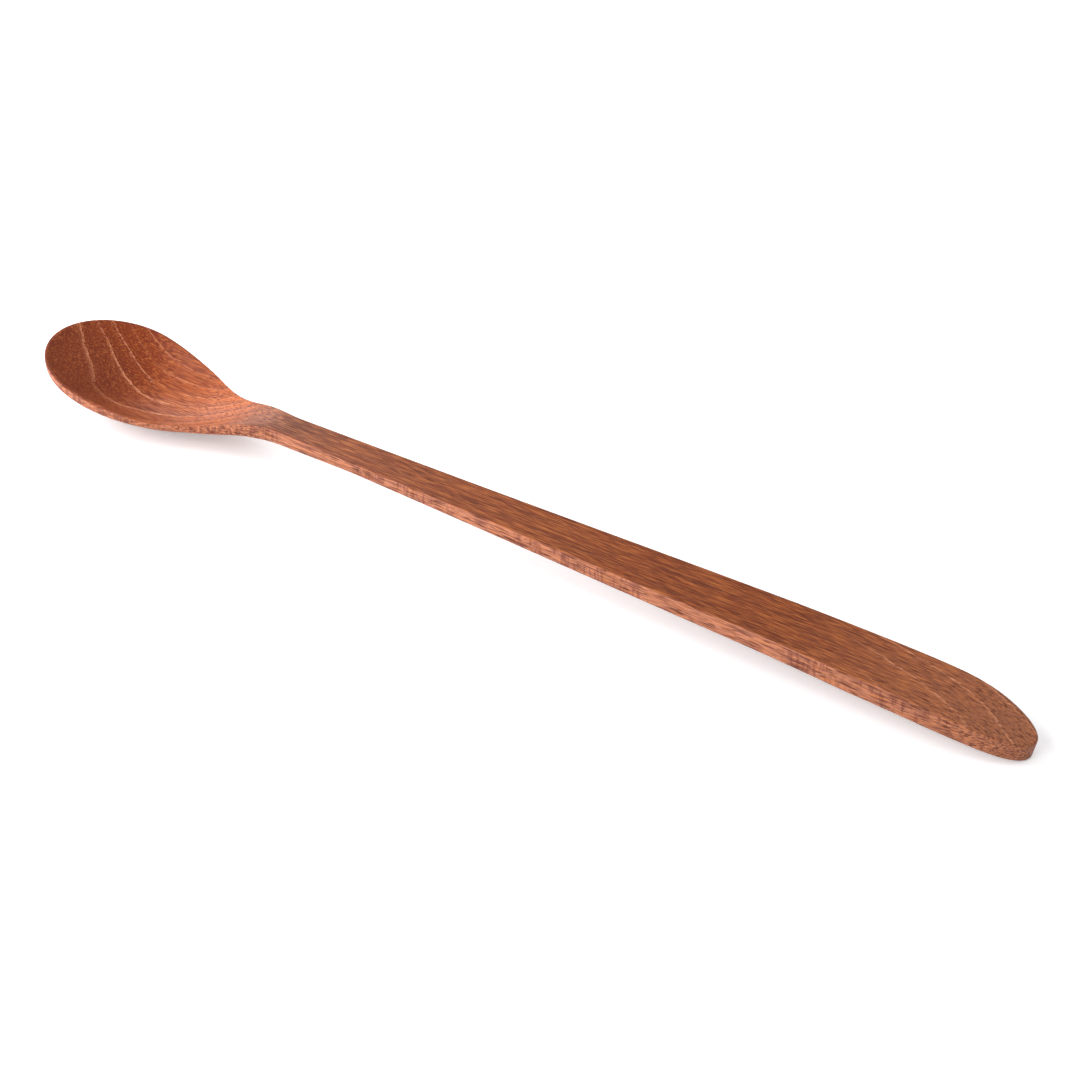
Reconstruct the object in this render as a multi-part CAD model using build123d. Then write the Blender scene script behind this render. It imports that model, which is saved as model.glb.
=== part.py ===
from build123d import *
import math
import os

# A long-handled spoon carved from one length of wood, as it lies on a table.
# Millimetres, +Z up, and +X from the bowl to the handle's end. The origin is on the
# table, under the middle of the spoon's box. A station is the distance along the spoon
# from the bowl's tip, and heights are measured from the table.

# The plan, seen from above
spoon_length = 300.0
bowl_width = 38.4
widest_station = 21.0
neck_width = 9.1
neck_station = 82.0
handle_width = 19.0
end_curve_length = 26.0

# The upper edge, seen from the side
tip_height = 15.7
rim_tip_angle = 12.5
rim_low_height = 7.5
rim_low_station = 47.0
brow_height = 12.6
brow_station = 79.0
brow_angle = 5.0
droop_start_height = 11.4
droop_start_station = 225.0
end_height = 4.95
end_droop_angle = 14.5

# The side walls, from the upper edge down to where the rounded underside begins
tip_wall_height = 1.8
bowl_wall_height = 2.0
thin_wall_height = 3.2
thin_wall_station = 105.0
thick_wall_height = 5.2
thick_wall_station = 255.0
end_wall_lean_angle = 14.0

# The hollow and the underside
rim_width = 0.8
floor_thickness = 2.6
deepest_station = 34.0
neck_dish_depth = 0.3
underside_crown = 0.4

# Easing of the long edges, as sandpaper leaves them
upper_edge_radius = 0.3
lower_edge_radius = 0.4

# How far a cutting shape runs past the wood that it cuts
overrun = 3.0

# Points of the plan and of the side-view lines. Each pair is a share of the way along
# and a share of the narrowing, fall or rise on that way.
flank_shares = ((0.23, 0.123), (0.36, 0.29), (0.49, 0.519), (0.62, 0.713), (0.75, 0.85), (0.88, 0.966))
taper_shares = ((0.3, 0.285), (0.6, 0.63), (0.82, 0.86))
rim_shares = ((0.43, 0.525), (0.74, 0.875))
neck_edge_shares = ((0.25, 0.124), (0.41, 0.325), (0.56, 0.58), (0.72, 0.83), (0.87, 0.952))
front_floor_shares = ((0.154, 0.237), (0.396, 0.565), (0.698, 0.9))
back_floor_shares = ((0.31, 0.131), (0.535, 0.436), (0.71, 0.72), (0.845, 0.905))
front_keel_shares = ((0.18, 0.236), (0.424, 0.6), (0.72, 0.918))
back_keel_shares = ((0.29, 0.169), (0.5, 0.458), (0.667, 0.72), (0.854, 0.945))
droop_shares = ((0.33, 0.088), (0.6, 0.218), (0.79, 0.437))

# The side wall beside the bowl: shares of the way to the neck and of the wall's height
bowl_wall_shares = ((0.15, 1.05), (0.3, 1.2), (0.5, 0.85), (0.64, 0.9), (0.76, 1.4), (0.9, 2.05))

# The rim's flat top narrows between these shares of the way to its lowest place, and
# past it the hollow breaks out through the side by a share of the flat's width.
rim_fade_start_share = 0.7
rim_fade_end_share = 0.94
rim_breakout_share = 0.2

# The wood above the neck is cleared from this share of the way from rim to brow.
clearing_share = 0.35

# The carved surfaces run through evenly spaced cross-sections. The tip's are as round
# as the one at this share of the way to the bowl's widest place.
hollow_section_count = 15
belly_section_count = 44
tip_section_share = 0.2

# An edge is on a side wall's corner if its middle is nearer than this share of the wall.
corner_share = 0.2

search_steps = 40

stock_height = tip_height + overrun
handle_slope = (droop_start_height - brow_height) / (droop_start_station - brow_station)


def slope(angle):
    """The rise over a run of one at an angle in degrees."""
    return math.tan(math.radians(angle))


def place(station, height, side=0.0):
    """The point at a station, a height above the table and a distance to one side."""
    return Vector(station - spoon_length / 2, side, height)


def side_line(start, end, shares, start_slope, end_slope):
    """A smooth line in the side view between two (station, height) pairs."""
    run = end[0] - start[0]
    change = end[1] - start[1]
    points = [place(start[0] + run * along, start[1] + change * done) for along, done in shares]
    return Spline(
        place(*start),
        *points,
        place(*end),
        tangents=[Vector(1, 0, start_slope), Vector(1, 0, end_slope)],
    )


def find_on(line, station):
    """The point of a line at a station, straight on past the line's ends."""
    target = station - spoon_length / 2
    low = 0.0
    high = 1.0
    for _ in range(search_steps):
        middle = (low + high) / 2
        if (line @ middle).X < target:
            low = middle
        else:
            high = middle
    point = line @ low
    heading = line % low
    return point + heading * ((target - point.X) / heading.X)


def height_on(line, station):
    """The height of a side-view line at a station."""
    return find_on(line, station).Z


def half_width_on(plan_side, station):
    """Half the spoon's width at a station, read on one side of the plan."""
    return find_on(plan_side, station).Y


def between_pairs(pairs, station):
    """A value at a station, straight between (station, value) pairs and level past them."""
    for (start, first), (end, second) in zip(pairs, pairs[1:]):
        if station <= end:
            return first + (second - first) * max(station - start, 0) / (end - start)
    return pairs[-1][1]


def even_stations(start, end, count):
    """Evenly spaced stations from start to end."""
    return [start + (end - start) * step / (count - 1) for step in range(count)]


def plan_points(start, end, shares):
    """Points of the plan between two (station, half width) pairs."""
    run = end[0] - start[0]
    change = end[1] - start[1]
    return [place(start[0] + run * along, 0, start[1] + change * done) for along, done in shares]


def plan_edges(end_station):
    """One side of the plan, from the bowl's tip to a handle end at the given station."""
    end_centre = end_station - end_curve_length
    widest = (widest_station, bowl_width / 2)
    neck = (neck_station, neck_width / 2)
    handle = (end_centre, handle_width / 2)
    widest_point = place(widest_station, 0, bowl_width / 2)
    neck_point = place(neck_station, 0, neck_width / 2)
    handle_point = place(end_centre, 0, handle_width / 2)
    along_handle = handle_point - neck_point
    tip_curve = EllipticalCenterArc(
        place(widest_station, 0), widest_station, bowl_width / 2, start_angle=180, arc_size=-90
    )
    flank = Spline(
        widest_point,
        *plan_points(widest, neck, flank_shares),
        neck_point,
        tangents=[Vector(1, 0, 0), along_handle],
    )
    taper = Spline(
        neck_point,
        *plan_points(neck, handle, taper_shares),
        handle_point,
        tangents=[along_handle, Vector(1, 0, 0)],
    )
    end_curve = EllipticalCenterArc(
        place(end_centre, 0), end_curve_length, handle_width / 2, start_angle=90, arc_size=-90
    )
    return [tip_curve, flank, taper, end_curve]


def plan_face(end_station, height):
    """The whole plan at a height."""
    half = Curve() + plan_edges(end_station)
    return make_face(half + mirror(half, about=Plane.XZ)).moved(Pos(0, 0, height))


def leaning_end(height):
    """The station of the handle's end at a height: its wall leans in towards the table."""
    return spoon_length + (height - end_height) * slope(end_wall_lean_angle)


def rim_line():
    """The bowl's rim, from the tip to its lowest place."""
    tip = (0.0, tip_height)
    low = (rim_low_station, rim_low_height)
    return side_line(tip, low, rim_shares, -slope(rim_tip_angle), 0)


def neck_edge_line():
    """The upper edge beside the neck, from the rim's lowest place up past the brow."""
    low = (rim_low_station, rim_low_height)
    crest = (brow_station, brow_height + neck_dish_depth)
    return side_line(low, crest, neck_edge_shares, 0, slope(brow_angle))


def droop_line():
    """The handle's top where it bends down to its end."""
    start = (droop_start_station, droop_start_height)
    end = (spoon_length, end_height)
    return side_line(start, end, droop_shares, handle_slope, -slope(end_droop_angle))


def floor_line():
    """The lowest line of the hollow, from the rim's inner edge to the brow."""
    front = (rim_width, height_on(rim_line(), rim_width))
    deepest = (deepest_station, floor_thickness)
    brow = (brow_station, brow_height)
    front_fall = (floor_thickness - front[1]) / (deepest_station - rim_width)
    steepest = front_fall * front_floor_shares[0][1] / front_floor_shares[0][0]
    return Wire([
        side_line(front, deepest, front_floor_shares, steepest, 0),
        side_line(deepest, brow, back_floor_shares, 0, slope(brow_angle)),
    ])


def upper_height(station):
    """The height of the side walls' upper edge."""
    if station < rim_low_station:
        return height_on(rim_line(), station)
    if station > droop_start_station:
        return height_on(droop_line(), station)
    handle_height = brow_height + (station - brow_station) * handle_slope
    if station > brow_station:
        return handle_height
    return min(handle_height, height_on(neck_edge_line(), station))


def wall_height(station):
    """The height of the side walls."""
    touching_station = leaning_end(underside_crown)
    pairs = [
        (0.0, tip_wall_height),
        *[(neck_station * along, bowl_wall_height * high) for along, high in bowl_wall_shares],
        (thin_wall_station, thin_wall_height),
        (thick_wall_station, thick_wall_height),
        (touching_station, upper_height(touching_station) - underside_crown),
    ]
    return between_pairs(pairs, station)


def lower_height(station):
    """The height of the side walls' lower edge, where the underside begins."""
    return upper_height(station) - wall_height(station)


def keel_line():
    """The lowest line of the underside, from the tip over the table to the neck."""
    tip = (0.0, tip_height - tip_wall_height)
    touching = (deepest_station, 0.0)
    neck = (neck_station, lower_height(neck_station) - underside_crown)
    steepest = -tip[1] / deepest_station * front_keel_shares[0][1] / front_keel_shares[0][0]
    neck_rise = lower_height(thin_wall_station) - lower_height(neck_station)
    neck_slope = neck_rise / (thin_wall_station - neck_station)
    return Wire([
        side_line(tip, touching, front_keel_shares, steepest, 0),
        side_line(touching, neck, back_keel_shares, 0, neck_slope),
    ])


def sawn_blank():
    """The plan as an upright block, sawn off along the upper edge as the side shows it."""
    bottom = plan_face(leaning_end(-overrun), -overrun)
    top = plan_face(leaning_end(stock_height), stock_height)
    rim = rim_line()
    droop = droop_line()
    clearing_station = rim_low_station + (brow_station - rim_low_station) * clearing_share
    handle_start_height = brow_height + (clearing_station - brow_station) * handle_slope
    handle_start = place(clearing_station, handle_start_height)
    front = rim @ 0 - (rim % 0) * overrun
    back = droop @ 1 + (droop % 1) * overrun / slope(end_wall_lean_angle)
    waste = [
        Line(front, rim @ 0),
        rim,
        Polyline(rim @ 1, handle_start, droop @ 0),
        droop,
        Polyline(
            droop @ 1,
            back,
            Vector(back.X, 0, stock_height + overrun),
            Vector(front.X, 0, stock_height + overrun),
            front,
        ),
    ]
    return loft([bottom, top], ruled=True) - extrude(
        make_face(Curve() + waste), bowl_width, both=True
    )


def carved_section(station, lowest, curvature):
    """A cross-section of the space above a trough whose sides climb as a parabola."""
    half_span = bowl_width / 2 + overrun
    climb = curvature * half_span**2
    ceiling = stock_height + bowl_width
    left = place(station, lowest + climb, -half_span)
    right = place(station, lowest + climb, half_span)
    trough = Bezier(left, place(station, lowest - climb), right)
    rest = Polyline(
        right, place(station, ceiling, half_span), place(station, ceiling, -half_span), left
    )
    return make_face(Curve() + [trough, rest])


def hollow():
    """The wood that is carved away inside the bowl and up to the brow."""
    plan_side = Wire(plan_edges(spoon_length))
    rim = rim_line()
    neck_edge = neck_edge_line()
    floor = floor_line()
    rim_flat = [
        (rim_low_station * rim_fade_start_share, rim_width),
        (rim_low_station * rim_fade_end_share, -rim_width * rim_breakout_share),
    ]
    sections = []
    for station in even_stations(-overrun, brow_station + overrun, hollow_section_count):
        read_at = max(station, widest_station * tip_section_share)
        edge = rim if read_at < rim_low_station else neck_edge
        rise = height_on(edge, read_at) - height_on(floor, read_at)
        reach = half_width_on(plan_side, read_at) - between_pairs(rim_flat, read_at)
        sections.append(carved_section(station, height_on(floor, station), rise / reach**2))
    return loft(sections)


def wood_above_underside():
    """The wood that is kept above the rounded underside, along the whole spoon."""
    plan_side = Wire(plan_edges(spoon_length))
    keel = keel_line()
    sections = []
    for station in even_stations(-overrun, spoon_length + overrun, belly_section_count):
        read_at = max(station, widest_station * tip_section_share)
        reach = half_width_on(plan_side, min(read_at, spoon_length - end_curve_length))
        if station < neck_station:
            lowest = height_on(keel, station)
            rise = lower_height(read_at) - height_on(keel, read_at)
        else:
            lowest = lower_height(station) - underside_crown
            rise = underside_crown
        sections.append(carved_section(station, lowest, rise / reach**2))
    return loft(sections)


def corner_edges(solid, height_at, start_station):
    """The long edges on both side walls that follow a height, from a station to the end."""
    plan_side = Wire(plan_edges(spoon_length))
    chosen = []
    for edge in solid.edges():
        middle = edge @ 0.5
        station = middle.X + spoon_length / 2
        if start_station < station < spoon_length - overrun:
            near = wall_height(station) * corner_share
            beside = abs(abs(middle.Y) - half_width_on(plan_side, station)) < near
            if beside and abs(middle.Z - height_at(station)) < near:
                chosen.append(edge)
    return chosen


def spoon():
    """The whole spoon: sawn, rounded underneath, hollowed, and eased along its edges."""
    carved = (sawn_blank() & wood_above_underside()) - hollow()
    solid = carved.solids()[0]
    solid = solid.fillet(upper_edge_radius, corner_edges(solid, upper_height, neck_station))
    return solid.fillet(lower_edge_radius, corner_edges(solid, lower_height, neck_station))


body = spoon()
os.makedirs("parts", exist_ok=True)
export_step(body, "parts/spoon.step")
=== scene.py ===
import logging
import math
from dataclasses import dataclass, field
from enum import Enum

import bpy
import numpy as np
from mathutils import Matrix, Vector


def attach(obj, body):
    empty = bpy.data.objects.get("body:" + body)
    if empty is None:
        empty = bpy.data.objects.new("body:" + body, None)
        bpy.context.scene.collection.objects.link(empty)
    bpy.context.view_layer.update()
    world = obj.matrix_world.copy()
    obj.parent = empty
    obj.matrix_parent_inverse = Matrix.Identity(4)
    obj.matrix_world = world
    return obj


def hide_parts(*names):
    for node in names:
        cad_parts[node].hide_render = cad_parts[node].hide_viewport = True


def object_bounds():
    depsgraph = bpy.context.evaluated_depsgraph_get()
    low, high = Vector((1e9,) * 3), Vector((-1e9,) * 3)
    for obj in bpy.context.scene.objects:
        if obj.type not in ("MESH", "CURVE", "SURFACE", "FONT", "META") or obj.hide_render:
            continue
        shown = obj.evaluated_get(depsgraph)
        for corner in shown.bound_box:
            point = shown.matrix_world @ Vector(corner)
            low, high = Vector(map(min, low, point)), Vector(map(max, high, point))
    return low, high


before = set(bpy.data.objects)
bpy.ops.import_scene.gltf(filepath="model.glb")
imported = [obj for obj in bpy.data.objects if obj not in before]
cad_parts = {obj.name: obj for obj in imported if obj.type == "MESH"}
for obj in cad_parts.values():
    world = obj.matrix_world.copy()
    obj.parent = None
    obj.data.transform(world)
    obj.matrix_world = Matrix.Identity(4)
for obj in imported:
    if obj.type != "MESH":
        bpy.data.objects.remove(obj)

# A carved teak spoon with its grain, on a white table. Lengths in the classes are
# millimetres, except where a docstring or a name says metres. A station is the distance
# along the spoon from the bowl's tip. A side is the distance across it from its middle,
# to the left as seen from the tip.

CAD_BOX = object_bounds()
METRES = 0.001
WHITE = (1.0, 1.0, 1.0, 1.0)
log = logging.getLogger("spoon")

Tree = bpy.types.NodeTree
Socket = bpy.types.NodeSocket
Line = tuple[np.ndarray, np.ndarray, np.ndarray]
Pairs = tuple[tuple[float, float], ...]


def linear(srgb_hex: str) -> tuple[float, float, float, float]:
    """Turns an sRGB colour to linear light.

    Args:
        srgb_hex: Six hex digits, such as "93563c".

    Returns:
        Red, green, blue and an alpha of 1.
    """
    channels = [int(srgb_hex[i:i + 2], 16) / 255 for i in (0, 2, 4)]
    lit = [c / 12.92 if c <= 0.04045 else ((c + 0.055) / 1.055) ** 2.4 for c in channels]
    return (lit[0], lit[1], lit[2], 1.0)


def add_node(
    tree: Tree, kind: str, settings: dict[str | int, object] | None = None, **links: Socket
) -> bpy.types.Node:
    """Adds a node with its settings and links.

    Args:
        tree: The node tree.
        kind: The node's type name.
        settings: Properties of the node, values of its inputs by name or number, or a
            ramp's stops as (place, sRGB hex) pairs.
        links: Input name, with _ for a space, or in0, in1 for a number, to a socket.

    Returns:
        The new node.
    """
    node = tree.nodes.new(kind)
    for key, value in (settings or {}).items():
        if key == "stops":
            ramp = node.color_ramp
            while len(ramp.elements) < len(value):
                ramp.elements.new(1.0)
            for stop, (at, colour) in zip(ramp.elements, value):
                stop.position = at
                stop.color = linear(colour)
        elif isinstance(key, int) or key in node.inputs:
            node.inputs[key].default_value = value
        else:
            setattr(node, key, value)
    for key, source in links.items():
        place = int(key[2:]) if key[:2] == "in" and key[2:].isdigit() else key.replace("_", " ")
        tree.links.new(source, node.inputs[place])
    return node


def empty_tree(owner: bpy.types.Material | bpy.types.World) -> Tree:
    """Gives a material or the world an empty node tree.

    Args:
        owner: The material or world.

    Returns:
        The tree.
    """
    owner.use_nodes = True
    owner.node_tree.nodes.clear()
    return owner.node_tree


def add_object(name: str, data: bpy.types.ID) -> bpy.types.Object:
    """Puts a mesh, light or camera into the scene.

    Args:
        name: The object's name.
        data: What it holds.

    Returns:
        The object.
    """
    made = bpy.data.objects.new(name, data)
    bpy.context.scene.collection.objects.link(made)
    return made


def direction(azimuth: float, elevation: float) -> Vector:
    """The way from the spoon to a light or to the camera.

    Args:
        azimuth: Degrees round from the near side, towards the handle's end.
        elevation: Degrees above the table.

    Returns:
        A unit vector.
    """
    around, up = math.radians(azimuth), math.radians(elevation)
    out = math.cos(up)
    return Vector((math.sin(around) * out, -math.cos(around) * out, math.sin(up)))


def smooth_line(
    stations: list[float], values: list[float], start_slope: float, end_slope: float
) -> Line:
    """Fits a smooth line through points, with a given slope at each end.

    Args:
        stations: Where the points are, in rising order.
        values: The line's value at each.
        start_slope: Its slope at the first point.
        end_slope: Its slope at the last point.

    Returns:
        The stations, the values and the slope at each point.
    """
    x = np.array(stations, float)
    y = np.array(values, float)
    gap = np.diff(x)
    rate = np.diff(y) / gap
    system = np.eye(len(x))
    right = np.zeros(len(x))
    right[0] = start_slope
    right[-1] = end_slope
    for i in range(1, len(x) - 1):
        system[i, i - 1] = gap[i]
        system[i, i] = 2 * (gap[i - 1] + gap[i])
        system[i, i + 1] = gap[i - 1]
        right[i] = 3 * (gap[i] * rate[i - 1] + gap[i - 1] * rate[i])
    return x, y, np.linalg.solve(system, right)


def read_line(line: Line, at: np.ndarray) -> np.ndarray:
    """Reads a smooth line, straight on past its ends.

    Args:
        line: What smooth_line returned.
        at: The stations to read.

    Returns:
        The line's values there.
    """
    x, y, slope = line
    i = np.clip(np.searchsorted(x, at) - 1, 0, len(x) - 2)
    gap = x[i + 1] - x[i]
    inside = np.clip(at, x[0], x[-1])
    t = (inside - x[i]) / gap
    near = (1 + 2 * t) * (1 - t) ** 2 * y[i] + t * (1 - t) ** 2 * gap * slope[i]
    far = t * t * (3 - 2 * t) * y[i + 1] + t * t * (t - 1) * gap * slope[i + 1]
    past = np.where(at < x[0], (at - x[0]) * slope[0], 0)
    past = np.where(at > x[-1], (at - x[-1]) * slope[-1], past)
    return near + far + past


def softer_minimum(first: np.ndarray, second: np.ndarray, blend: np.ndarray) -> np.ndarray:
    """The lower of two heights, with their crease rounded over.

    Args:
        first: The first heights.
        second: The second heights.
        blend: The height difference over which the crease is rounded.

    Returns:
        The blended heights.
    """
    near = np.maximum(blend - np.abs(first - second), 0) / blend
    return np.minimum(first, second) - near * near * blend / 4


@dataclass(frozen=True)
class SpoonForm:
    """The carved shape: outlines in the plan and the side view, and its surfaces."""

    length: float = 300.0
    bowl_width: float = 38.4
    widest: float = 21.0
    neck_width: float = 9.1
    neck: float = 82.0
    handle_width: float = 19.0
    end_curve: float = 26.0
    tip_height: float = 15.7
    rim_tip_angle: float = 12.5
    rim_low: tuple[float, float] = (47.0, 7.5)
    brow: tuple[float, float] = (79.0, 12.6)
    brow_angle: float = 5.0
    droop: tuple[float, float] = (225.0, 11.4)
    end_height: float = 4.95
    end_droop_angle: float = 14.5
    tip_wall: float = 1.8
    bowl_wall: float = 2.0
    thin_wall: tuple[float, float] = (105.0, 3.2)
    thick_wall: tuple[float, float] = (255.0, 5.2)
    end_lean_angle: float = 14.0
    rim_width: float = 0.8
    floor: tuple[float, float] = (34.0, 2.6)
    neck_dish: float = 0.3
    crown: float = 0.4
    tip_section: float = 4.2
    rim_fade: tuple[float, float] = (0.7, 0.94)
    rim_breakout: float = 0.2
    rim_blend: float = 0.12
    brow_blend: float = 0.25

    # Points of the lines: a share of the way along, and a share of the change on that way.
    # Those of the walls are shares of the way to the neck and of the bowl's wall.
    flank: Pairs = (
        (0.23, 0.123),
        (0.36, 0.29),
        (0.49, 0.519),
        (0.62, 0.713),
        (0.75, 0.85),
        (0.88, 0.966),
    )
    taper: Pairs = ((0.3, 0.285), (0.6, 0.63), (0.82, 0.86))
    rim: Pairs = ((0.43, 0.525), (0.74, 0.875))
    neck_edge: Pairs = ((0.25, 0.124), (0.41, 0.325), (0.56, 0.58), (0.72, 0.83), (0.87, 0.952))
    front_floor: Pairs = ((0.154, 0.237), (0.396, 0.565), (0.698, 0.9))
    back_floor: Pairs = ((0.31, 0.131), (0.535, 0.436), (0.71, 0.72), (0.845, 0.905))
    front_keel: Pairs = ((0.18, 0.236), (0.424, 0.6), (0.72, 0.918))
    back_keel: Pairs = ((0.29, 0.169), (0.5, 0.458), (0.667, 0.72), (0.854, 0.945))
    droop_line: Pairs = ((0.33, 0.088), (0.6, 0.218), (0.79, 0.437))
    walls: Pairs = ((0.15, 1.05), (0.3, 1.2), (0.5, 0.85), (0.64, 0.9), (0.76, 1.4), (0.9, 2.05))

    def between(
        self,
        start: tuple[float, float],
        end: tuple[float, float],
        shares: Pairs,
        first: float,
        last: float,
    ) -> Line:
        """Fits a smooth line between two pairs.

        Args:
            start: The first (station, value) pair.
            end: The last (station, value) pair.
            shares: Shares of the way along and of the change, in order.
            first: The slope at the start.
            last: The slope at the end.

        Returns:
            The line, for read_line.
        """
        run = end[0] - start[0]
        change = end[1] - start[1]
        stations = [start[0], *[start[0] + run * a for a, _ in shares], end[0]]
        values = [start[1], *[start[1] + change * c for _, c in shares], end[1]]
        return smooth_line(stations, values, first, last)

    @property
    def handle_slope(self) -> float:
        """The fall of the handle's straight top, over its length."""
        return (self.droop[1] - self.brow[1]) / (self.droop[0] - self.brow[0])

    @property
    def brow_slope(self) -> float:
        """The slope at which the neck's edge and the hollow meet the brow."""
        return math.tan(math.radians(self.brow_angle))

    @property
    def neck_edge_line(self) -> Line:
        """The walls' upper edge from the low rim up the neck to the brow."""
        crest = (self.brow[0], self.brow[1] + self.neck_dish)
        return self.between(self.rim_low, crest, self.neck_edge, 0, self.brow_slope)

    def half_width(self, station: np.ndarray) -> np.ndarray:
        """Half the plan's width.

        Args:
            station: Where to read it.

        Returns:
            The half widths, 0 at both ends.
        """
        bowl, waist, handle = self.bowl_width / 2, self.neck_width / 2, self.handle_width / 2
        end_centre = self.length - self.end_curve
        along = (handle - waist) / (end_centre - self.neck)
        flank = self.between((self.widest, bowl), (self.neck, waist), self.flank, 0, along)
        taper = self.between((self.neck, waist), (end_centre, handle), self.taper, along, 0)
        tip = bowl * np.sqrt(np.clip(1 - ((self.widest - station) / self.widest) ** 2, 0, 1))
        end = handle * np.sqrt(np.clip(1 - ((station - end_centre) / self.end_curve) ** 2, 0, 1))
        result = np.where(station < self.widest, tip, read_line(flank, station))
        result = np.where(station > self.neck, read_line(taper, station), result)
        return np.where(station > end_centre, end, result)

    def side_height(self, station: np.ndarray) -> np.ndarray:
        """The height of the top as the side view shows it, before hollowing.

        Args:
            station: Where to read it.

        Returns:
            The heights above the table.
        """
        tip_slope = -math.tan(math.radians(self.rim_tip_angle))
        end_slope = -math.tan(math.radians(self.end_droop_angle))
        rim = self.between((0, self.tip_height), self.rim_low, self.rim, tip_slope, 0)
        handle = self.brow[1] + (station - self.brow[0]) * self.handle_slope
        end = (self.length, self.end_height)
        droop = self.between(self.droop, end, self.droop_line, self.handle_slope, end_slope)
        result = np.where(station < self.rim_low[0], read_line(rim, station), handle)
        return np.where(station > self.droop[0], read_line(droop, station), result)

    def edge_height(self, station: np.ndarray) -> np.ndarray:
        """The height of the side walls' upper edge.

        Args:
            station: Where to read it.

        Returns:
            The heights above the table.
        """
        side = self.side_height(station)
        climbing = (station >= self.rim_low[0]) & (station <= self.brow[0])
        neck = np.minimum(side, read_line(self.neck_edge_line, station))
        return np.where(climbing, neck, side)

    def wall_height(self, station: np.ndarray) -> np.ndarray:
        """The height of the side walls.

        Args:
            station: Where to read it.

        Returns:
            The heights, from the lower edge to the upper one.
        """
        lean = math.tan(math.radians(self.end_lean_angle))
        touching = self.length + (self.crown - self.end_height) * lean
        last = float(self.edge_height(np.array(touching))) - self.crown
        pairs = [
            (0.0, self.tip_wall),
            *[(self.neck * along, self.bowl_wall * high) for along, high in self.walls],
            self.thin_wall,
            self.thick_wall,
            (touching, last),
        ]
        return np.interp(station, [p[0] for p in pairs], [p[1] for p in pairs])

    def keel_height(self, station: np.ndarray) -> np.ndarray:
        """The lowest line of the underside.

        Args:
            station: Where to read it.

        Returns:
            The heights above the table.
        """
        tip = (0.0, self.tip_height - self.tip_wall)
        touching = (self.floor[0], 0.0)
        neck_and_thin = np.array([self.neck, self.thin_wall[0]])
        lower = self.edge_height(neck_and_thin) - self.wall_height(neck_and_thin)
        neck_slope = (lower[1] - lower[0]) / (neck_and_thin[1] - neck_and_thin[0])
        steepest = -tip[1] / touching[0] * self.front_keel[0][1] / self.front_keel[0][0]
        front = self.between(tip, touching, self.front_keel, steepest, 0)
        back = self.between(
            touching, (self.neck, lower[0] - self.crown), self.back_keel, 0, neck_slope
        )
        flat = self.edge_height(station) - self.wall_height(station) - self.crown
        keel = np.where(station < touching[0], read_line(front, station), read_line(back, station))
        return np.where(station > self.neck, flat, keel)

    def floor_height(self, station: np.ndarray) -> np.ndarray:
        """The lowest line of the hollow, on past the brow.

        Args:
            station: Where to read it.

        Returns:
            The heights above the table.
        """
        start = (self.rim_width, float(self.side_height(np.array(self.rim_width))))
        fall = (self.floor[1] - start[1]) / (self.floor[0] - start[0])
        steepest = fall * self.front_floor[0][1] / self.front_floor[0][0]
        front = self.between(start, self.floor, self.front_floor, steepest, 0)
        back = self.between(self.floor, self.brow, self.back_floor, 0, self.brow_slope)
        deepest = self.floor[0]
        return np.where(station < deepest, read_line(front, station), read_line(back, station))

    def hollow_height(self, station: np.ndarray, side: np.ndarray) -> np.ndarray:
        """The dished surface of the bowl, which runs out over the brow.

        Args:
            station: Where to read it.
            side: How far across.

        Returns:
            The heights above the table.
        """
        low = self.rim_low[0]
        read = np.maximum(station, self.tip_section)
        fade = [self.rim_fade[0] * low, self.rim_fade[1] * low]
        rim = np.interp(read, fade, [self.rim_width, -self.rim_breakout * self.rim_width])
        reach = self.half_width(read) - rim
        neck = read_line(self.neck_edge_line, read)
        edge = np.where(read < low, self.side_height(read), neck)
        depth = edge - self.floor_height(read)
        return self.floor_height(station) + depth * (side / reach) ** 2

    def top_height(self, station: np.ndarray, side: np.ndarray) -> np.ndarray:
        """The upper surface: rim, hollow, brow and handle.

        Args:
            station: Where to read it.
            side: How far across.

        Returns:
            The heights above the table.
        """
        level = self.side_height(station)
        hollow = self.hollow_height(station, side)
        blend = np.interp(station, [self.rim_low[0], self.neck], [self.rim_blend, self.brow_blend])
        carved = softer_minimum(level, hollow, blend)
        return np.where(station > self.thin_wall[0], level, carved)

    def underside_height(self, station: np.ndarray, side: np.ndarray) -> np.ndarray:
        """The rounded underside, from the bowl's belly to the handle's end.

        Args:
            station: Where to read it.
            side: How far across.

        Returns:
            The heights above the table, never below it.
        """
        read = np.maximum(station, self.tip_section)
        lower_edge = self.edge_height(read) - self.wall_height(read)
        reach = self.half_width(np.minimum(read, self.length - self.end_curve))
        round_off = (lower_edge - self.keel_height(read)) * (side / reach) ** 2
        return np.maximum(self.keel_height(station) + round_off, 0)


class Face(Enum):
    """The two carved faces of the spoon."""

    TOP = 1
    UNDERSIDE = -1


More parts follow.
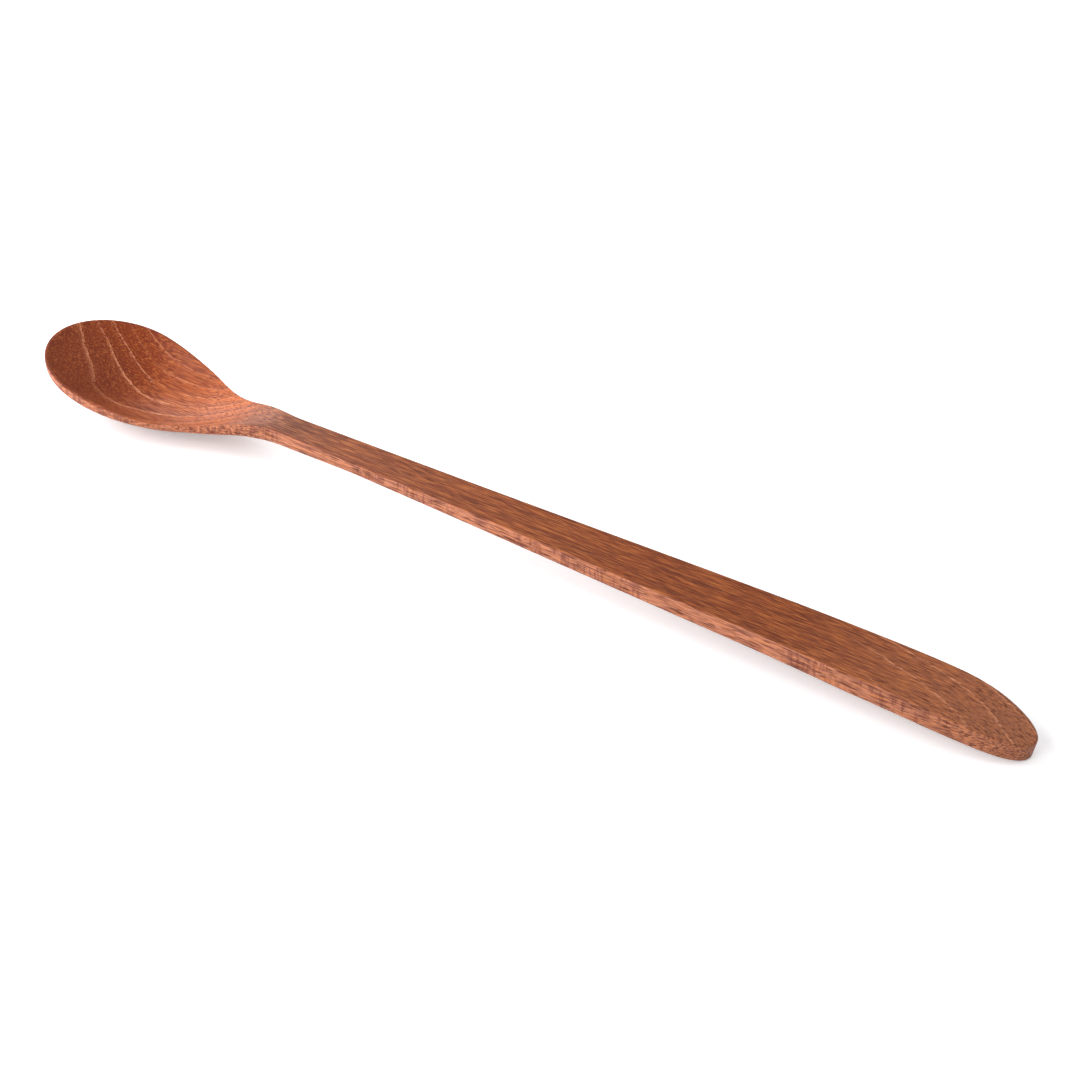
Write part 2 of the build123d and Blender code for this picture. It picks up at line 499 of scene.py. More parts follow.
@dataclass
class CarvedSpoon:
    """The spoon itself: one length of teak, carved and sanded.

    The steps and spokes divide its skin. The insets are rings near the edge, measured
    inwards from the arris. The spine is where the spokes end on the middle line.
    """

    form: SpoonForm = field(default_factory=SpoonForm)
    steps_along: int = 400
    arris_steps: int = 5
    wall_steps: int = 5
    lean_rounds: int = 3
    top_spokes: int = 20
    underside_spokes: int = 14
    insets: tuple[float, ...] = (0.1, 0.2, 0.32, 0.45, 0.6, 0.8, 1.05, 1.35, 1.7)
    spine_start: float = 14.0
    spine_blend: float = 10.0
    rim_arris: float = 0.22
    handle_arris: float = 0.4
    end_arris: float = 0.55
    lower_arris: float = 0.5

    def outline(self) -> tuple[np.ndarray, np.ndarray]:
        """The plan's outline and its inward direction.

        Returns:
            Points (station, side) once round from the bowl's tip, and unit vectors.
        """
        turn = np.linspace(0, math.pi, self.steps_along + 1)
        station = self.form.length * (1 - np.cos(turn)) / 2
        half = self.form.half_width(station)
        left = np.stack([station, half], 1)
        right = np.stack([station, -half], 1)[-2:0:-1]
        points = np.concatenate([left, right])
        along = np.roll(points, -1, 0) - np.roll(points, 1, 0)
        inward = np.stack([along[:, 1], -along[:, 0]], 1)
        return points, inward / np.linalg.norm(inward, axis=1)[:, None]

    def lean(self, station: np.ndarray, height: np.ndarray) -> np.ndarray:
        """How far the leaning end wall draws the handle along.

        Args:
            station: Where on the plan.
            height: The height above the table.

        Returns:
            The shift along the spoon.
        """
        form = self.form
        share = (station - form.neck) / (form.length - form.end_curve - form.neck)
        slope = math.tan(math.radians(form.end_lean_angle))
        return (height - form.end_height) * slope * np.clip(share, 0, 1)

    def ring(self, plan: np.ndarray, face: Face, drop: np.ndarray | float) -> np.ndarray:
        """Sets plan points on a carved face, or into the wood from it.

        Args:
            plan: Points (station, side).
            face: The face that they lie on.
            drop: How far into the wood from the face.

        Returns:
            Points (station, side, height).
        """
        station, side = plan[:, 0], plan[:, 1]
        surface = self.form.top_height if face is Face.TOP else self.form.underside_height
        height = surface(station, side)
        for _ in range(self.lean_rounds):
            height = surface(station + self.lean(station, height), side) - face.value * drop
        return np.stack([station + self.lean(station, height), side, height], 1)

    def arris_radius(self, station: np.ndarray, face: Face) -> np.ndarray:
        """The rounding of the long edges, softer towards the handle's end.

        Args:
            station: Where on the outline.
            face: The face that the edge belongs to.

        Returns:
            The radii.
        """
        if face is Face.UNDERSIDE:
            return np.full(len(station), self.lower_arris)
        marks = [self.form.rim_low[0], self.form.neck, self.form.droop[0], self.form.length]
        sizes = [self.rim_arris, self.handle_arris, self.handle_arris, self.end_arris]
        return np.interp(station, marks, sizes)

    def face_rings(
        self, points: np.ndarray, inward: np.ndarray, face: Face
    ) -> tuple[list[np.ndarray], np.ndarray]:
        """Rings from the side wall over the arris and in to the middle of a face.

        Args:
            points: The outline.
            inward: Its inward directions.
            face: The face to cover.

        Returns:
            The rings, from the wall inwards, and the points of the spine.
        """
        radius = self.arris_radius(points[:, 0], face)
        rings = []
        for turn in np.linspace(0, math.pi / 2, self.arris_steps + 1):
            inset = radius * (1 - math.cos(turn))
            drop = radius * (1 - math.sin(turn))
            rings.append(self.ring(points + inward * inset[:, None], face, drop))
        for extra in self.insets:
            rings.append(self.ring(points + inward * (radius + extra)[:, None], face, 0))
        last = points + inward * (radius + self.insets[-1])[:, None]
        spine = self.spine_stations(points)
        middle = np.stack([spine, np.zeros(len(spine))], 1)
        spokes = self.top_spokes if face is Face.TOP else self.underside_spokes
        for share in np.linspace(0, 1, spokes + 1)[1:-1]:
            rings.append(self.ring(last + (middle - last) * share, face, 0))
        return rings, self.ring(middle[: self.steps_along + 1], face, 0)

    def spine_stations(self, points: np.ndarray) -> np.ndarray:
        """Where the spokes of the mesh end on the middle line.

        Args:
            points: The outline.

        Returns:
            A station for each point.
        """
        length, start = self.form.length, self.spine_start
        ahead = points[:, 0] - start
        first = start + (ahead + np.hypot(ahead, self.spine_blend)) / 2
        behind = length - start - first
        return length - start - (behind + np.hypot(behind, self.spine_blend)) / 2

    def build(self) -> bpy.types.Object:
        """Builds the spoon as one closed mesh in its place.

        Returns:
            The mesh object.
        """
        points, inward = self.outline()
        top, top_spine = self.face_rings(points, inward, Face.TOP)
        under, under_spine = self.face_rings(points, inward, Face.UNDERSIDE)
        wall = [
            top[0] + (under[0] - top[0]) * step / self.wall_steps
            for step in range(1, self.wall_steps)
        ]
        rings = [*top[::-1], *wall, *under]
        count, half = len(points), self.steps_along
        places = np.concatenate([*rings, top_spine, under_spine])
        around = np.arange(count)
        after = (around + 1) % count
        spine_index = np.minimum(around, count - around)
        faces = []
        for row in range(len(rings) - 1):
            here, below = row * count, (row + 1) * count
            faces.append(np.stack([here + around, below + around, below + after, here + after], 1))
        first_spine = len(rings) * count
        last_row = first_spine - count
        second_spine = first_spine + half + 1
        inner = [first_spine + spine_index, around, after, first_spine + spine_index[after]]
        lower = [
            last_row + around,
            second_spine + spine_index,
            second_spine + spine_index[after],
            last_row + after,
        ]
        faces += [np.stack(inner, 1), np.stack(lower, 1)]
        places[:, 0] -= self.form.length / 2
        mesh = bpy.data.meshes.new("spoon_carved")
        mesh.from_pydata((places * METRES).tolist(), [], np.concatenate(faces).tolist())
        mesh.update()
        mesh.shade_smooth()
        return add_object("spoon_carved", mesh)

    def dress(self, piece: bpy.types.Object, finish: "OiledTeak") -> None:
        """Gives the spoon its wood.

        Args:
            piece: The mesh object.
            finish: The wood's finish.
        """
        piece.data.materials.append(finish.material())
        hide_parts("spoon")
        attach(piece, "root")


@dataclass(frozen=True)
class Fade:
    """A value that changes evenly from one mark to another and stays level past them."""

    start: float
    end: float
    before: float = 0.0
    after: float = 1.0


@dataclass(frozen=True)
class Lumps:
    """How long, wide and high a noise pattern's lumps are, and its finer layers."""

    along: float
    across: float
    up: float
    layers: float = 1.0


@dataclass(frozen=True)
class OiledTeak:
    """Teak, sawn along the grain, sanded and wiped with oil.

    It gives the eye a satin red brown, with thin pale ring lines that curve across the
    hollow, short dark pore marks along the grain and ladders of ray flecks on the sides.
    Marks along the spoon are measured from the middle of its length, towards the handle.
    """

    early_wood: str = "bb5b1a"
    middle_wood: str = "ad5015"
    late_wood: str = "7f340e"
    ring_line: str = "d28c68"
    # Painted shade, warmed by bounce light, in the bowl towards its tip
    bowl_painted_shade: str = "6a1f00"
    handle_wood: str = "69351f"
    # Painted shade across the brow
    brow_painted_shade: str = "512d1f"
    # Painted sheen on the handle's end
    tip_painted_sheen: str = "a66a4d"
    pale_fibre: str = "bd7038"
    pore_shade: str = "50200c"
    fleck_shade: str = "6a332b"
    # Painted light on the upright sides, which the lamps light more than the top
    side_painted_light: str = "d38e70"

    # The year's rings: how far apart, where in a ring each colour lies, and how the rings
    # tilt, bend, climb and fall along the spoon. Their spacing is set by where the lines
    # cross the bowl, and rings_below by where the first one does.
    ring_spacing: float = 5.4
    early_place: float = 0.12
    middle_place: float = 0.5
    late_place: float = 0.9
    tilt_to_neck: Fade = Fade(-150.0, -75.0, -0.34, -1.5)
    tilt_past_neck: Fade = Fade(-60.0, 95.0, 0.0, 0.8)
    bend: Fade = Fade(-75.0, 60.0, -0.047, -0.017)
    climbs: tuple[tuple[Fade, float], ...] = (
        (Fade(-150.0, -75.0), 15.0),
        (Fade(-75.0, 90.0), -3.4),
        (Fade(90.0, 150.0), -8.3),
    )
    drift: Lumps = Lumps(70.0, 9.0, 9.0)
    drift_height: float = 1.6
    wobble: Lumps = Lumps(7.0, 1.6, 1.6, 2.0)
    wobble_height: float = 0.8
    level_shift: float = -1.2
    rings_below: float = 20.67

    # The pale line at the start of a ring. The real one is a band of cells finer than a
    # pixel, too fine to show, so it is drawn 0.6 mm wide. Beads and gaps break it up, and
    # specks, about a pixel wide so that they show, lie in the early wood beside it.
    line_width: float = 0.6
    beads: Lumps = Lumps(1.3, 0.45, 0.45)
    gaps: Lumps = Lumps(9.0, 6.0, 6.0)
    gap_weight: float = 0.5
    gap_shift: float = -0.2
    line_shows: Fade = Fade(0.38, 0.6)
    line_strength: float = 0.9
    specks: Lumps = Lumps(1.8, 0.28, 0.28)
    speck_reach: Fade = Fade(0.45, 0.0)
    speck_shows: Fade = Fade(0.58, 0.7)
    speck_strength: float = 0.75

    # Where the lines show. A slanting measure, the distance across with a share of the
    # distance along, fades them and makes some of them fainter.
    lines_in_bowl: Fade = Fade(-72.0, -84.0)
    slant_share: float = 0.4
    slant_shift: float = 50.4
    lines_inside: Fade = Fade(-12.0, -7.0)
    line_steps: tuple[tuple[Fade, float], ...] = (
        (Fade(1.0, -0.5), -0.35),
        (Fade(7.2, 8.2), -0.75),
        (Fade(11.5, 12.3), 0.4),
        (Fade(14.8, 15.6), -0.3),
    )
    lines_at_end: Fade = Fade(100.0, 110.0)
    end_line_strength: float = 0.8

    # Cloudy areas of paler wood, and streaks along the grain. Real streaks are bands of
    # fibre down to 0.1 mm wide, too fine to show, so they are drawn 0.5 mm wide.
    clouds: Lumps = Lumps(60.0, 12.0, 12.0)
    cloud_pale: Fade = Fade(0.5, 1.1)
    streaks: Lumps = Lumps(20.0, 0.5, 0.5, 3.0)
    streak_dark: Fade = Fade(0.5, 0.85)
    streak_pale: Fade = Fade(0.5, 0.15)

    # Areas of another tone, and how strongly each is laid on. Painted shade lies over the bowl's
    # tip end and across the brow, a painted sheen over the handle's end, and painted light on the
    # upright sides.
    bowl_shade_zone: Fade = Fade(-92.0, -130.0)
    bowl_shade_strength: float = 0.9
    handle_zone: Fade = Fade(-88.0, -68.0)
    handle_strength: float = 0.8
    brow_from_bowl: Fade = Fade(-92.0, -78.0)
    brow_from_handle: Fade = Fade(-52.0, -68.0)
    brow_shade_strength: float = 0.5
    tip_zone: Fade = Fade(85.0, 150.0)
    tip_sheen_strength: float = 0.7
    side_turn: Fade = Fade(0.75, 0.3)
    side_light_strength: float = 0.6

    # Finer dark arcs between the ring lines, and the patches that cut them up
    arcs_per_ring: float = 7.0
    arc_layers: float = 2.0
    arc_roughness: float = 0.6
    arc_shows: Fade = Fade(0.5, 0.72)
    arc_cuts: Lumps = Lumps(12.0, 3.0, 3.0, 2.0)
    arc_cut_shows: Fade = Fade(0.4, 0.6)

    # Fibres. Real ones are some 0.03 mm wide, far too fine to show, so they are drawn as
    # wide as the pores.
    fibres: Lumps = Lumps(8.0, 0.3, 0.3, 2.0)
    fibre_dark: Fade = Fade(0.5, 0.82)
    fibre_pale: Fade = Fade(0.48, 0.16)

    # Ladders of ray flecks on the sides. Real rays are some 0.2 mm apart, too fine to show,
    # so the rungs are drawn 0.9 mm apart. They show in patches. The dashes are pores cut
    # lengthways, drawn 0.45 mm wide for the same reason.
    fleck_patches: Lumps = Lumps(14.0, 14.0, 14.0)
    patch_shows: Fade = Fade(0.45, 0.53)
    rungs: Lumps = Lumps(0.9, 1.5, 4.0)
    rung_shows: Fade = Fade(0.48, 0.58)
    dashes: Lumps = Lumps(7.0, 0.45, 0.45)
    dash_shows: Fade = Fade(0.52, 0.6)
    fleck_strength: float = 0.6

    # Pores. Teak's are 0.1 to 0.3 mm wide, and the finer ones would not show, so all are
    # drawn 0.3 mm wide. The wood between them is a little paler.
    pores: Lumps = Lumps(5.0, 0.3, 0.3)
    pore_shows: Fade = Fade(0.57, 0.65)
    pores_on_sides: float = 0.02
    pore_strength: float = 0.75
    # The pores and the paler wood between them fade in the painted shade by the bowl's tip
    pore_loss_in_bowl_shade: float = -0.4
    shine_shows: Fade = Fade(0.42, 0.32)
    shine_strength: float = 0.5
    shine_loss_in_bowl_shade: float = -0.35

    # The sheen of wiped oil: satin, duller in the pores, with a faint relief
    roughness: float = 0.38
    streak_roughness: float = 0.16
    pore_roughness: float = 0.15
    streak_relief: float = 0.25
    relief_strength: float = 0.35
    relief_height_metres: float = 0.0001
    noise_roughness: float = 0.55
    ior: float = 1.5
    specular_level: float = 0.19

    def wave(self, tree: Tree, place: Socket, lumps: Lumps) -> Socket:
        """Smooth noise whose lumps have a given length, width and height.

        Args:
            tree: The node tree.
            place: The place in the wood, in millimetres.
            lumps: The lumps' sizes and the finer layers.

        Returns:
            Values around a half.
        """
        stretch = (1 / lumps.along, 1 / lumps.across, 1 / lumps.up)
        scaled = add_node(tree, "ShaderNodeMapping", {"Scale": stretch}, Vector=place)
        settings = {"Scale": 1.0, "Detail": lumps.layers, "Roughness": self.noise_roughness}
        return add_node(tree, "ShaderNodeTexNoise", settings, Vector=scaled.outputs[0]).outputs[0]

    def sum_up(self, tree: Tree, parts: list[tuple[Socket, float]], start: float = 0.0) -> Socket:
        """Adds weighted values.

        Args:
            tree: The node tree.
            parts: Values and their weights.
            start: A number that is added too.

        Returns:
            The sum.
        """
        total = None
        for value, weight in parts:
            settings = {"operation": "MULTIPLY_ADD", 1: weight, 2: start}
            node = add_node(tree, "ShaderNodeMath", settings, in0=value)
            if total is not None:
                tree.links.new(total, node.inputs[2])
            total = node.outputs[0]
        return total

    def product(self, tree: Tree, first: Socket, second: Socket) -> Socket:
        """Multiplies two values.

        Args:
            tree: The node tree.
            first: One value.
            second: The other.

        Returns:
            Their product.
        """
        node = add_node(tree, "ShaderNodeMath", {"operation": "MULTIPLY"}, in0=first, in1=second)
        return node.outputs[0]

    def follow(self, tree: Tree, value: Socket, fade: Fade) -> Socket:
        """Makes a fade follow a value.

        Args:
            tree: The node tree.
            value: The value.
            fade: How the result changes with it.

        Returns:
            The result, a mask from 0 to 1 unless the fade says otherwise.
        """
        settings = {
            "From Min": fade.start,
            "From Max": fade.end,
            "To Min": fade.before,
            "To Max": fade.after,
        }
        return add_node(tree, "ShaderNodeMapRange", settings, Value=value).outputs[0]

    def blend(
        self, tree: Tree, share: Socket, under: Socket, over: str, strength: float = 1.0
    ) -> Socket:
        """Lays a colour over another.

        Args:
            tree: The node tree.
            share: How much of it shows.
            under: The colour below.
            over: The sRGB hex laid on top.
            strength: A weight for the share.

        Returns:
            The blended colour.
        """
        if strength != 1.0:
            share = self.sum_up(tree, [(share, strength)])
        settings = {"data_type": "RGBA", 7: linear(over)}
        return add_node(tree, "ShaderNodeMix", settings, in0=share, in6=under).outputs[2]

    def rings_crossed(self, tree: Tree, place: Socket) -> Socket:
        """How many of the year's rings lie below a point.

        The rings are shells around the tree's pith, which lay above the spoon and to its
        right. They tilt more steeply at the neck than at either end.

        Args:
            tree: The node tree.
            place: The place in the wood, in millimetres.

        Returns:
            The count, whole at a ring line.
        """
        along, across, up = add_node(tree, "ShaderNodeSeparateXYZ", Vector=place).outputs
        tilt_in = self.follow(tree, along, self.tilt_to_neck)
        tilt_out = self.follow(tree, along, self.tilt_past_neck)
        tilt = add_node(tree, "ShaderNodeMath", {"operation": "ADD"}, in0=tilt_in, in1=tilt_out)
        tilted = self.product(tree, tilt.outputs[0], across)
        square = self.product(tree, across, across)
        bent = self.product(tree, square, self.follow(tree, along, self.bend))
        climbs = [(self.follow(tree, along, fade), height) for fade, height in self.climbs]
        drift = self.wave(tree, place, self.drift)
        wobble = self.wave(tree, place, self.wobble)
        parts = [(up, 1.0), (tilted, 1.0), (bent, 1.0), *climbs]
        parts += [(drift, self.drift_height), (wobble, self.wobble_height)]
        level = self.sum_up(tree, parts, self.level_shift)
        return self.sum_up(tree, [(level, 1 / self.ring_spacing)], self.rings_below)

    def line_share(self, tree: Tree, place: Socket, phase: Socket) -> Socket:
        """How strongly the pale ring lines show: broken up, and only where the carving
        cuts across the rings, in the bowl and at the handle's end.

        Args:
            tree: The node tree.
            place: The place in the wood, in millimetres.
            phase: The part of a ring that lies below the point.

        Returns:
            The lines' share.
        """
        split = add_node(tree, "ShaderNodeSeparateXYZ", Vector=place)
        along, across = split.outputs[0], split.outputs[1]
        bowl = self.follow(tree, along, self.lines_in_bowl)
        inward = self.sum_up(tree, [(across, 1.0), (along, self.slant_share)], self.slant_shift)
        inside = self.follow(tree, inward, self.lines_inside)
        steps = [(self.follow(tree, inward, fade), change) for fade, change in self.line_steps]
        clear = self.sum_up(tree, steps, 1.0)
        slant = self.sum_up(tree, [(along, 1.0), (across, 1.0)])
        end = self.follow(tree, slant, self.lines_at_end)
        in_bowl = self.product(tree, self.product(tree, bowl, clear), inside)
        where = self.sum_up(tree, [(in_bowl, 1.0), (end, self.end_line_strength)])
        beads = self.wave(tree, place, self.beads)
        gaps = self.wave(tree, place, self.gaps)
        specks = self.wave(tree, place, self.specks)
        line = self.follow(tree, phase, Fade(self.line_width / self.ring_spacing, 0.0))
        beside = self.follow(tree, phase, self.speck_reach)
        speck = self.product(tree, beside, self.follow(tree, specks, self.speck_shows))
        breaks = self.sum_up(tree, [(beads, 1.0), (gaps, self.gap_weight)], self.gap_shift)
        broken = self.product(tree, line, self.follow(tree, breaks, self.line_shows))
        both = self.sum_up(tree, [(broken, self.line_strength), (speck, self.speck_strength)])
        return self.product(tree, both, where)

    def ring_colours(self, tree: Tree, phase: Socket) -> Socket:
        """Colours the wood by its place in a ring.

        Args:
            tree: The node tree.
            phase: The part of a ring that lies below the point.

        Returns:
            The colour.
        """
        stops = [
            (0.0, self.middle_wood),
            (self.early_place, self.early_wood),
            (self.middle_place, self.middle_wood),
            (self.late_place, self.late_wood),
            (1.0, self.middle_wood),
        ]
        return add_node(tree, "ShaderNodeValToRGB", {"stops": stops}, Fac=phase).outputs[0]

    def lay_tones(self, tree: Tree, along: Socket, bowl_shade: Socket, colour: Socket) -> Socket:
        """Lays the painted shade by the bowl's tip, the handle's tone and the painted shade on the
        brow over the rings.

        Args:
            tree: The node tree.
            along: The place along the spoon.
            bowl_shade: The mask of the painted shade, warmed by bounce light, by the bowl's tip.
            colour: The colour so far.

        Returns:
            The new colour.
        """
        # Painted shade, warmed by bounce light, over the bowl's tip end
        colour = self.blend(tree, bowl_shade, colour, self.bowl_painted_shade, self.bowl_shade_strength)
        handle = self.follow(tree, along, self.handle_zone)
        colour = self.blend(tree, handle, colour, self.handle_wood, self.handle_strength)
        # A band of painted shade across the brow
        near_bowl = self.follow(tree, along, self.brow_from_bowl)
        near_handle = self.follow(tree, along, self.brow_from_handle)
        brow = self.product(tree, near_bowl, near_handle)
        return self.blend(tree, brow, colour, self.brow_painted_shade, self.brow_shade_strength)

    def lay_arcs(self, tree: Tree, place: Socket, turns: Socket, colour: Socket) -> Socket:
        """Lays the finer dark arcs between the ring lines.

        Args:
            tree: The node tree.
            place: The place in the wood, in millimetres.
            turns: The count of rings below the point.
            colour: The colour so far.

        Returns:
            The new colour.
        """
        settings = {
            "noise_dimensions": "1D",
            "Scale": self.arcs_per_ring,
            "Detail": self.arc_layers,
            "Roughness": self.arc_roughness,
        }
        arcs = add_node(tree, "ShaderNodeTexNoise", settings, W=turns).outputs[0]
        cuts = self.follow(tree, self.wave(tree, place, self.arc_cuts), self.arc_cut_shows)
        arc = self.product(tree, self.follow(tree, arcs, self.arc_shows), cuts)
        return self.blend(tree, arc, colour, self.late_wood)

    def lay_flecks(self, tree: Tree, place: Socket, side: Socket, colour: Socket) -> Socket:
        """Lays the ladders of ray flecks and the dark dashes on the sides.

        Args:
            tree: The node tree.
            place: The place in the wood, in millimetres.
            side: The mask of the upright sides.
            colour: The colour so far.

        Returns:
            The new colour.
        """
        patches = self.follow(tree, self.wave(tree, place, self.fleck_patches), self.patch_shows)
        rungs = self.follow(tree, self.wave(tree, place, self.rungs), self.rung_shows)
        fleck = self.product(tree, self.product(tree, patches, rungs), side)
        colour = self.blend(tree, fleck, colour, self.fleck_shade, self.fleck_strength)
        dashes = self.follow(tree, self.wave(tree, place, self.dashes), self.dash_shows)
        dash = self.product(tree, dashes, side)
        return self.blend(tree, dash, colour, self.fleck_shade, self.fleck_strength)

    def material(self) -> bpy.types.Material:
        """Builds the wood.

        Returns:
            The material.
        """
        wood = bpy.data.materials.new("oiled_teak_sanded")
        tree = empty_tree(wood)
        coords = add_node(tree, "ShaderNodeTexCoord").outputs["Object"]
        per_metre = (1 / METRES, 1 / METRES, 1 / METRES)
        place = add_node(tree, "ShaderNodeMapping", {"Scale": per_metre}, Vector=coords).outputs[0]
        along = add_node(tree, "ShaderNodeSeparateXYZ", Vector=place).outputs[0]
        facing = add_node(tree, "ShaderNodeNewGeometry").outputs["Normal"]
        upward = add_node(tree, "ShaderNodeSeparateXYZ", Vector=facing).outputs[2]
        level = add_node(tree, "ShaderNodeMath", {"operation": "ABSOLUTE"}, in0=upward)
        side = self.follow(tree, level.outputs[0], self.side_turn)
        # The mask of the painted shade by the bowl's tip
        bowl_shade = self.follow(tree, along, self.bowl_shade_zone)
        turns = self.rings_crossed(tree, place)
        phase = add_node(tree, "ShaderNodeMath", {"operation": "FRACT"}, in0=turns).outputs[0]

        colour = self.ring_colours(tree, phase)
        clouds = self.follow(tree, self.wave(tree, place, self.clouds), self.cloud_pale)
        colour = self.blend(tree, clouds, colour, self.early_wood)
        streak = self.wave(tree, place, self.streaks)
        dark = self.follow(tree, streak, self.streak_dark)
        colour = self.blend(tree, dark, colour, self.late_wood)
        pale = self.follow(tree, streak, self.streak_pale)
        colour = self.blend(tree, pale, colour, self.early_wood)
        colour = self.lay_tones(tree, along, bowl_shade, colour)
        colour = self.lay_arcs(tree, place, turns, colour)
        # Painted light: the upright sides drawn paler and pinker than the top
        colour = self.blend(tree, side, colour, self.side_painted_light, self.side_light_strength)
        # Painted sheen: the handle's end drawn paler and greyer
        tip = self.follow(tree, along, self.tip_zone)
        colour = self.blend(tree, tip, colour, self.tip_painted_sheen, self.tip_sheen_strength)
        fibre = self.wave(tree, place, self.fibres)
        dark = self.follow(tree, fibre, self.fibre_dark)
        colour = self.blend(tree, dark, colour, self.pore_shade)
        pale = self.follow(tree, fibre, self.fibre_pale)
        colour = self.blend(tree, pale, colour, self.pale_fibre)
        colour = self.blend(tree, self.line_share(tree, place, phase), colour, self.ring_line)
        colour = self.lay_flecks(tree, place, side, colour)

        pores = self.wave(tree, place, self.pores)
        opened = self.sum_up(tree, [(pores, 1.0), (side, self.pores_on_sides)])
        pore = self.follow(tree, opened, self.pore_shows)
        # Pores show less in the painted shade by the bowl's tip
        depth = self.sum_up(tree, [(bowl_shade, self.pore_loss_in_bowl_shade)], self.pore_strength)
        colour = self.blend(tree, self.product(tree, pore, depth), colour, self.pore_shade)
        shine = self.follow(tree, pores, self.shine_shows)
        glint = self.sum_up(tree, [(bowl_shade, self.shine_loss_in_bowl_shade)], self.shine_strength)
        colour = self.blend(tree, self.product(tree, shine, glint), colour, self.pale_fibre)

        dullness = [(streak, self.streak_roughness), (pore, self.pore_roughness)]
        gloss = self.sum_up(tree, dullness, self.roughness)
        height = self.sum_up(tree, [(pore, -1.0), (streak, self.streak_relief)])
        relief = {"Strength": self.relief_strength, "Distance": self.relief_height_metres}
        bump = add_node(tree, "ShaderNodeBump", relief, Height=height)
        shader = add_node(
            tree,
            "ShaderNodeBsdfPrincipled",
            {"IOR": self.ior, "Specular IOR Level": self.specular_level},
            Base_Color=colour,
            Roughness=gloss,
            Normal=bump.outputs[0],
        )
        add_node(tree, "ShaderNodeOutputMaterial", Surface=shader.outputs[0])
        return wood


@dataclass(frozen=True)
class WhiteTable:
    """A matt white table top that runs out of sight. Its reach is in metres."""

    reach: float = 6.0
    colour: str = "f2f2f4"
    lift: float = 0.3

    def build(self) -> bpy.types.Object:
        """Lays the table under the spoon.

        Returns:
            The table's object.
        """
        height = CAD_BOX[0][2]
        signs = [(-1, -1), (1, -1), (1, 1), (-1, 1)]
        corners = [(x * self.reach, y * self.reach, height) for x, y in signs]
        mesh = bpy.data.meshes.new("table_top")
        mesh.from_pydata(corners, [], [(0, 1, 2, 3)])
        table = add_object("table_top", mesh)
        table.data.materials.append(self.material())
        return table

    def material(self) -> bpy.types.Material:
        """Builds the table's matt white paint.

        The camera and reflections see it lifted towards pure white. Scattered light
        doesn't, and the shadow still shows.

        Returns:
            The material.
        """
        paint = bpy.data.materials.new("white_table_paint")
        tree = empty_tree(paint)
        matt = add_node(tree, "ShaderNodeBsdfDiffuse", {"Color": linear(self.colour)})
        glow = add_node(tree, "ShaderNodeEmission", {"Color": WHITE, "Strength": self.lift})
        both = add_node(tree, "ShaderNodeAddShader", in0=matt.outputs[0], in1=glow.outputs[0])
        path = add_node(tree, "ShaderNodeLightPath")
        seen = add_node(
            tree,
            "ShaderNodeMath",
            {"operation": "MAXIMUM"},
            in0=path.outputs["Is Camera Ray"],
            in1=path.outputs["Is Glossy Ray"],
        )
        surface = add_node(
            tree,
            "ShaderNodeMixShader",
            Fac=seen.outputs[0],
            in1=matt.outputs[0],
            in2=both.outputs[0],
        )
        add_node(tree, "ShaderNodeOutputMaterial", Surface=surface.outputs[0])
        return paint


@dataclass(frozen=True)
class SoftBox:
    """A round soft light that looks at the spoon.

    Its distance and width are in metres, its angles in degrees and its power in watts.
    """

    name: str
    azimuth: float
    elevation: float
    distance: float
    width: float
    power: float

    def build(self) -> bpy.types.Object:
        """Hangs the light.

        Returns:
            The light's object.
        """
        lamp = bpy.data.lights.new(self.name, "AREA")
        lamp.shape = "DISK"
        lamp.size = self.width
        lamp.energy = self.power
        light = add_object(self.name, lamp)
        toward = direction(self.azimuth, self.elevation)
        light.location = toward * self.distance
        light.rotation_euler = toward.to_track_quat("Z", "Y").to_euler()
        return light


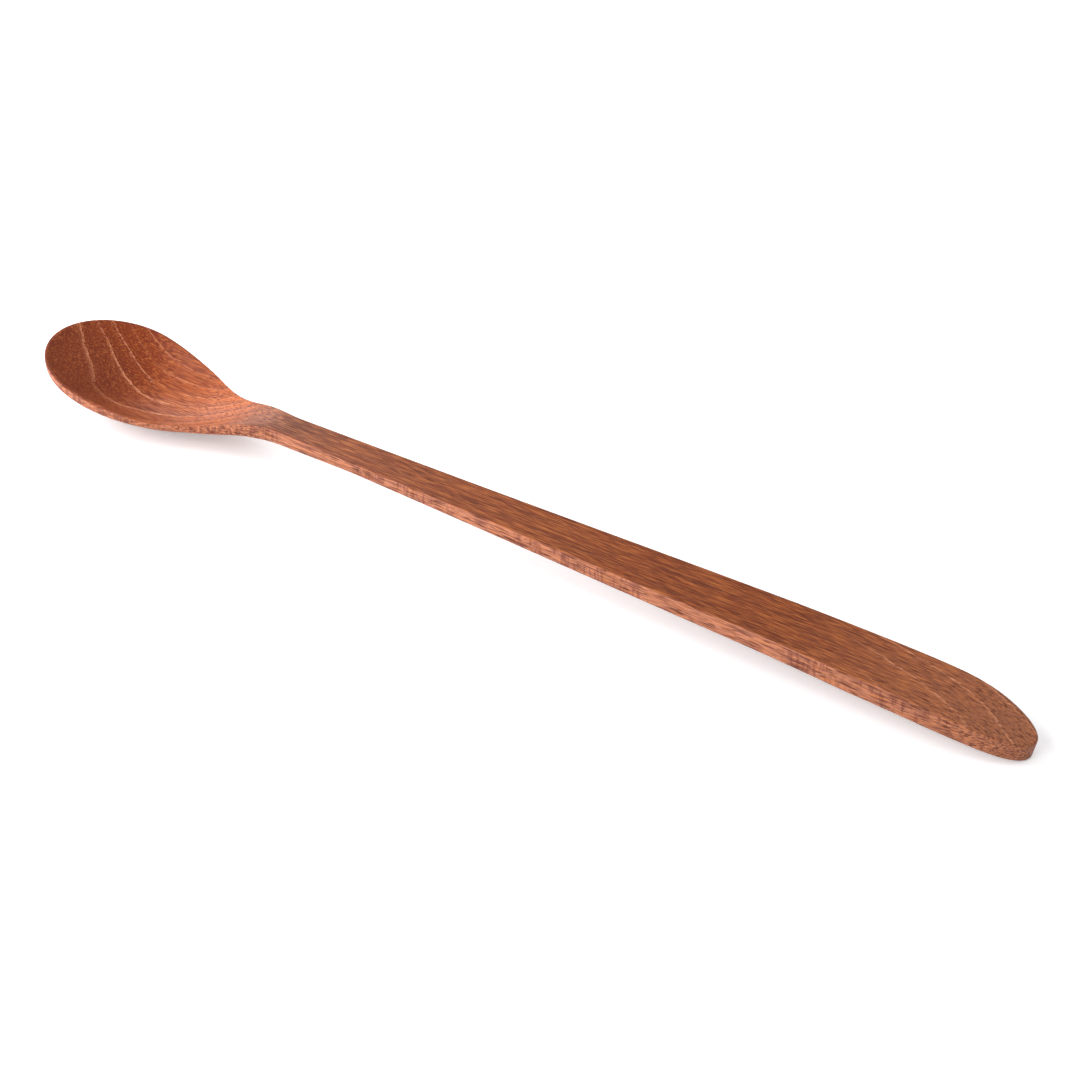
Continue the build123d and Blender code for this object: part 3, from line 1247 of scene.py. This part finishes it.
@dataclass(frozen=True)
class Studio:
    """Dim white surroundings with four soft lights.

    Off the bowl's end stand the key, on the near side, and the back one, on the far side.
    The front one stands on the near side, and the far one high on the far side.
    """

    surround: float = 0.22
    backdrop: float = 1.0
    key: SoftBox = SoftBox(
        "soft_key", azimuth=-62.0, elevation=34.0, distance=0.62, width=0.5, power=4.2
    )
    front: SoftBox = SoftBox(
        "soft_front", azimuth=-6.0, elevation=27.0, distance=1.3, width=1.0, power=11.5
    )
    back: SoftBox = SoftBox(
        "soft_back", azimuth=-118.0, elevation=24.0, distance=0.7, width=0.4, power=1.9
    )
    far: SoftBox = SoftBox(
        "soft_far", azimuth=152.0, elevation=56.0, distance=0.95, width=1.3, power=4.4
    )

    def build(self) -> None:
        """Sets the world and hangs the lights."""
        world = bpy.data.worlds.new("white_studio")
        tree = empty_tree(world)
        light, backdrop = (
            add_node(tree, "ShaderNodeBackground", {"Color": WHITE, "Strength": strength})
            for strength in (self.surround, self.backdrop)
        )
        path = add_node(tree, "ShaderNodeLightPath")
        surface = add_node(
            tree,
            "ShaderNodeMixShader",
            Fac=path.outputs["Is Camera Ray"],
            in1=light.outputs[0],
            in2=backdrop.outputs[0],
        )
        add_node(tree, "ShaderNodeOutputWorld", Surface=surface.outputs[0])
        bpy.context.scene.world = world
        for light_box in (self.key, self.front, self.back, self.far):
            light_box.build()


@dataclass(frozen=True)
class StudioCamera:
    """A long lens that looks down along the spoon from the right of its near side."""

    lens: float = 100.0
    sensor: float = 36.0
    azimuth: float = 36.364
    elevation: float = 31.978
    target: tuple[float, float, float] = (9.369, 3.010, 4.985)
    distance: float = 746.0

    def build(self) -> bpy.types.Object:
        """Sets up the camera.

        Returns:
            The camera's object.
        """
        back = direction(self.azimuth, self.elevation)
        data = bpy.data.cameras.new("studio_camera")
        data.lens = self.lens
        data.sensor_width = self.sensor
        camera = add_object("studio_camera", data)
        camera.location = (Vector(self.target) + back * self.distance) * METRES
        camera.rotation_euler = back.to_track_quat("Z", "Y").to_euler()
        bpy.context.scene.camera = camera
        return camera


def main() -> None:
    """Builds the spoon, the table, the lights and the camera."""
    logging.basicConfig(level=logging.INFO)
    bpy.context.scene.view_settings.view_transform = "Standard"
    StudioCamera().build()
    log.info("studio_camera: set")
    Studio().build()
    log.info("studio lights: hung")
    WhiteTable().build()
    log.info("table_top: laid")
    spoon = CarvedSpoon()
    piece = spoon.build()
    spoon.dress(piece, OiledTeak())
    log.info("%s: %d faces", piece.name, len(piece.data.polygons))


if __name__ == "__main__":
    main()
